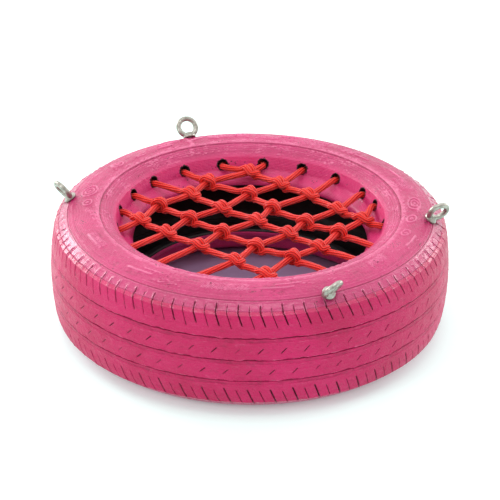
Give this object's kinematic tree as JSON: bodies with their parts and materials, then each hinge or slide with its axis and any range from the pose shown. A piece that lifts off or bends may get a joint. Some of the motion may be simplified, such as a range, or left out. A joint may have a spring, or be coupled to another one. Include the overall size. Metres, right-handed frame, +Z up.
{
  "type": "tire swing",
  "caption": "Painted car tyre lying flat as a swing seat, with one cord laced and knotted into a net across its upper opening and swivelling eyebolts on the upper shoulder.",
  "frame": {"origin": "on the tyre's axis, in the plane that the lower sidewall rests on", "axes": "+Z up along the tyre's axis; +Y is away from the viewer in the usual view; the eyes stand near -X, +Y, +X and -Y"},
  "size_m": [0.5958, 0.5958, 0.2091],
  "materials": {
    "painted_tread": "thick gloss pink paint",
    "painted_side": "thick gloss pink paint",
    "bare_rubber": "matt black",
    "belt_steel": "drawn wire",
    "bead_wire": "bronze coated wire",
    "cord": "braided sheath, satin",
    "eye_steel": "zinc plated, satin",
    "fastener_steel": "zinc plated"
  },
  "bodies": {
    "tyre": {"tread": "painted_tread", "steel_belt": "belt_steel", "carcass": "bare_rubber", "upper_sidewall": "painted_side", "lower_sidewall": "painted_side", "upper_bead_core": "bead_wire", "lower_bead_core": "bead_wire", "net_cord": "cord"},
    "eye_left": {"eyebolt_left": "eye_steel", "washer_left": "fastener_steel", "nut_left": "fastener_steel"},
    "eye_rear": {"eyebolt_rear": "eye_steel", "washer_rear": "fastener_steel", "nut_rear": "fastener_steel"},
    "eye_right": {"eyebolt_right": "eye_steel", "washer_right": "fastener_steel", "nut_right": "fastener_steel"},
    "eye_front": {"eyebolt_front": "eye_steel", "washer_front": "fastener_steel", "nut_front": "fastener_steel"}
  },
  "joints": [
    {"name": "swivel_left", "type": "hinge", "parent": "tyre", "child": "eye_left", "pos_m": [-0.26953, 0.03788, 0.17613], "axis": [-0.6626, 0.0931, 0.7431], "continuous": true},
    {"name": "swivel_rear", "type": "hinge", "parent": "tyre", "child": "eye_rear", "pos_m": [-0.09715, 0.25308, 0.17671], "axis": [-0.2398, 0.6247, 0.7431], "continuous": true},
    {"name": "swivel_right", "type": "hinge", "parent": "tyre", "child": "eye_right", "pos_m": [0.26518, -0.0232, 0.17901], "axis": [0.6666, -0.0583, 0.7431], "continuous": true},
    {"name": "swivel_front", "type": "hinge", "parent": "tyre", "child": "eye_front", "pos_m": [0.11026, -0.24765, 0.17671], "axis": [0.2722, -0.6113, 0.7431], "continuous": true}
  ]
}
